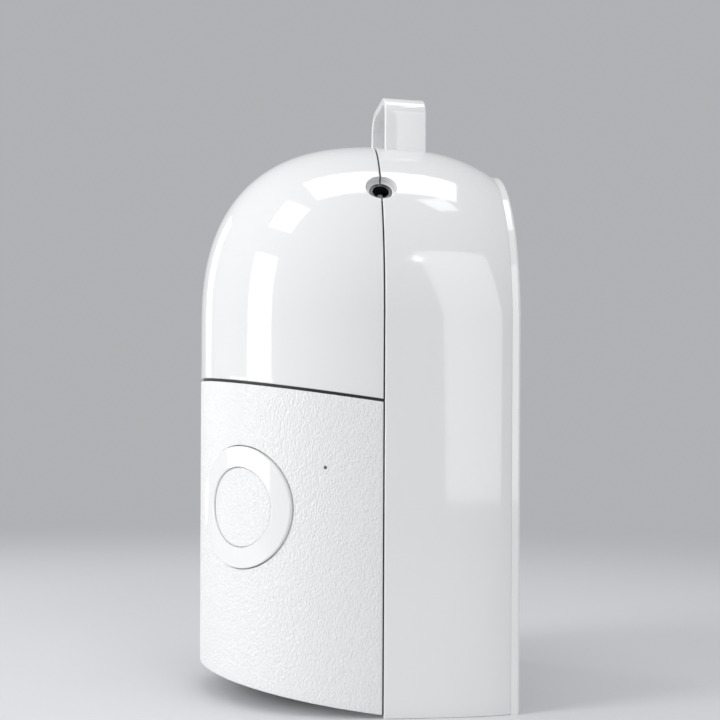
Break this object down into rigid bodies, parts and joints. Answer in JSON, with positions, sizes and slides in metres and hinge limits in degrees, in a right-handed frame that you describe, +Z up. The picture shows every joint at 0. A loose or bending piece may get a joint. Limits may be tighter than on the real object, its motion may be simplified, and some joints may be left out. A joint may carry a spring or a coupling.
{
  "type": "led nail lamp",
  "caption": "Portable upright curing lamp: a domed tunnel with a slanted open mouth, a carrying loop, a ringed push button, a side power socket and a magnetic base plate.",
  "frame": {"origin": "bottom centre of the whole lamp's bounding box, on the surface it stands on", "axes": "+Z up through the dome, -Y out of the curved front with the button, +Y out of the flat base plate, +X towards the side with the button and the power socket"},
  "size_m": [0.1042, 0.1102, 0.2175],
  "materials": {
    "gloss_white": "gloss",
    "grain_white": "leather grain, semi-matt",
    "ring_white": "gloss",
    "inner_white": "matt",
    "reflector": "bright white",
    "dark_rubber": "matt",
    "pad_rubber": "matt",
    "black_plastic": "satin",
    "plated_steel": "plated",
    "plain_steel": "plain",
    "board_green": "solder mask",
    "board_white": "solder mask",
    "bead_clear": "clear",
    "smoke_clear": "smoked",
    "cell_wrap": "shrink wrap"
  },
  "bodies": {
    "case": {"front_dome_shell": "gloss_white", "front_panel": "grain_white", "front_carrier": "inner_white", "carry_loop": "gloss_white", "rear_shell": "gloss_white", "keeper_discs": "plain_steel", "button_ring": "ring_white", "switch_body": "black_plastic", "switch_board": "board_green", "status_lens": "smoke_clear", "power_socket": "black_plastic", "socket_pin": "plated_steel", "reflector_liner": "reflector", "crown_light_board": "board_white", "left_light_board": "board_white", "right_light_board": "board_white", "light_beads": "bead_clear", "battery_cells": "cell_wrap", "battery_tray": "inner_white", "main_board": "board_green", "board_chips": "black_plastic", "board_screws": "plain_steel", "case_screws": "plain_steel", "sensor_window": "smoke_clear", "hand_sensor": "black_plastic", "seam_seal": "dark_rubber", "groove_seal": "dark_rubber"},
    "button": {"button_cap": "grain_white", "switch_plunger": "black_plastic"},
    "base": {"base_plate": "gloss_white", "base_magnets": "plated_steel", "rest_pads": "pad_rubber"}
  },
  "joints": [
    {"name": "button_press", "type": "slide", "parent": "case", "child": "button", "axis": [-0.732, 0.6813, 0], "range_m": [0, 0.0008], "stiffness_N_per_m": 800, "springref_m": -0.001},
    {"name": "base_lift_off", "type": "slide", "parent": "case", "child": "base", "axis": [0, 1, 0], "range_m": [0, 0.04]}
  ]
}
